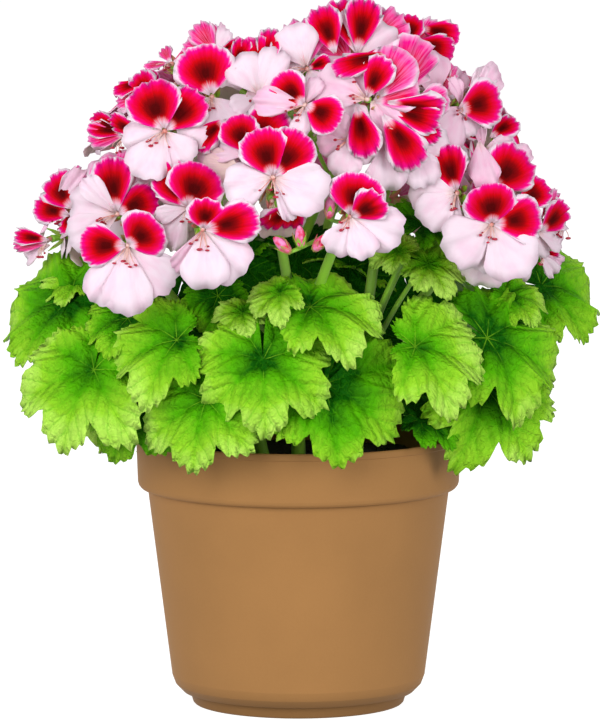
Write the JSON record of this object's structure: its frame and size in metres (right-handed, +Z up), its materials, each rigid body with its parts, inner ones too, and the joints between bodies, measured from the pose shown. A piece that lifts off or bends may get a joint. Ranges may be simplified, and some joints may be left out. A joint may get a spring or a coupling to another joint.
{
  "type": "potted geranium",
  "caption": "Regal pelargonium in full bloom: a dome of frilled two-tone flowers over scalloped green leaves, in a round brown plastic pot.",
  "frame": {"origin": "centre of the pot's foot, on the surface it stands on", "axes": "+Z up along the pot's axis; the plant's best side, the one in the picture, faces -Y, with +X to its right"},
  "size_m": [0.2684, 0.2333, 0.326],
  "materials": {
    "pot_plastic": "matt moulded brown plastic",
    "potting_soil": "dark damp peat",
    "leaf_green": "soft matt leaf",
    "petal_pink": "velvety petal"
  },
  "bodies": {
    "root": {"pot": "pot_plastic", "soil": "potting_soil", "leafy_shoot_left": "leaf_green", "leafy_shoot_front_left": "leaf_green", "leafy_shoot_front": "leaf_green", "leafy_shoot_front_right": "leaf_green", "leafy_shoot_right": "leaf_green", "leafy_shoot_far_right": "leaf_green", "leafy_shoot_far": "leaf_green", "leafy_shoot_far_left": "leaf_green", "leafy_shoot_middle": "leaf_green", "flower_head_left": "petal_pink", "flower_head_upper_left": "petal_pink", "flower_head_centre_left": "petal_pink", "flower_head_centre": "petal_pink", "flower_head_front": "petal_pink", "flower_head_top": "petal_pink", "flower_head_top_middle": "petal_pink", "flower_head_top_right": "petal_pink", "flower_head_right": "petal_pink", "flower_head_far_right": "petal_pink", "flower_head_far_back": "petal_pink", "flower_head_far_middle": "petal_pink", "flower_head_far_left": "petal_pink", "flower_head_crown": "petal_pink"}
  },
  "joints": []
}
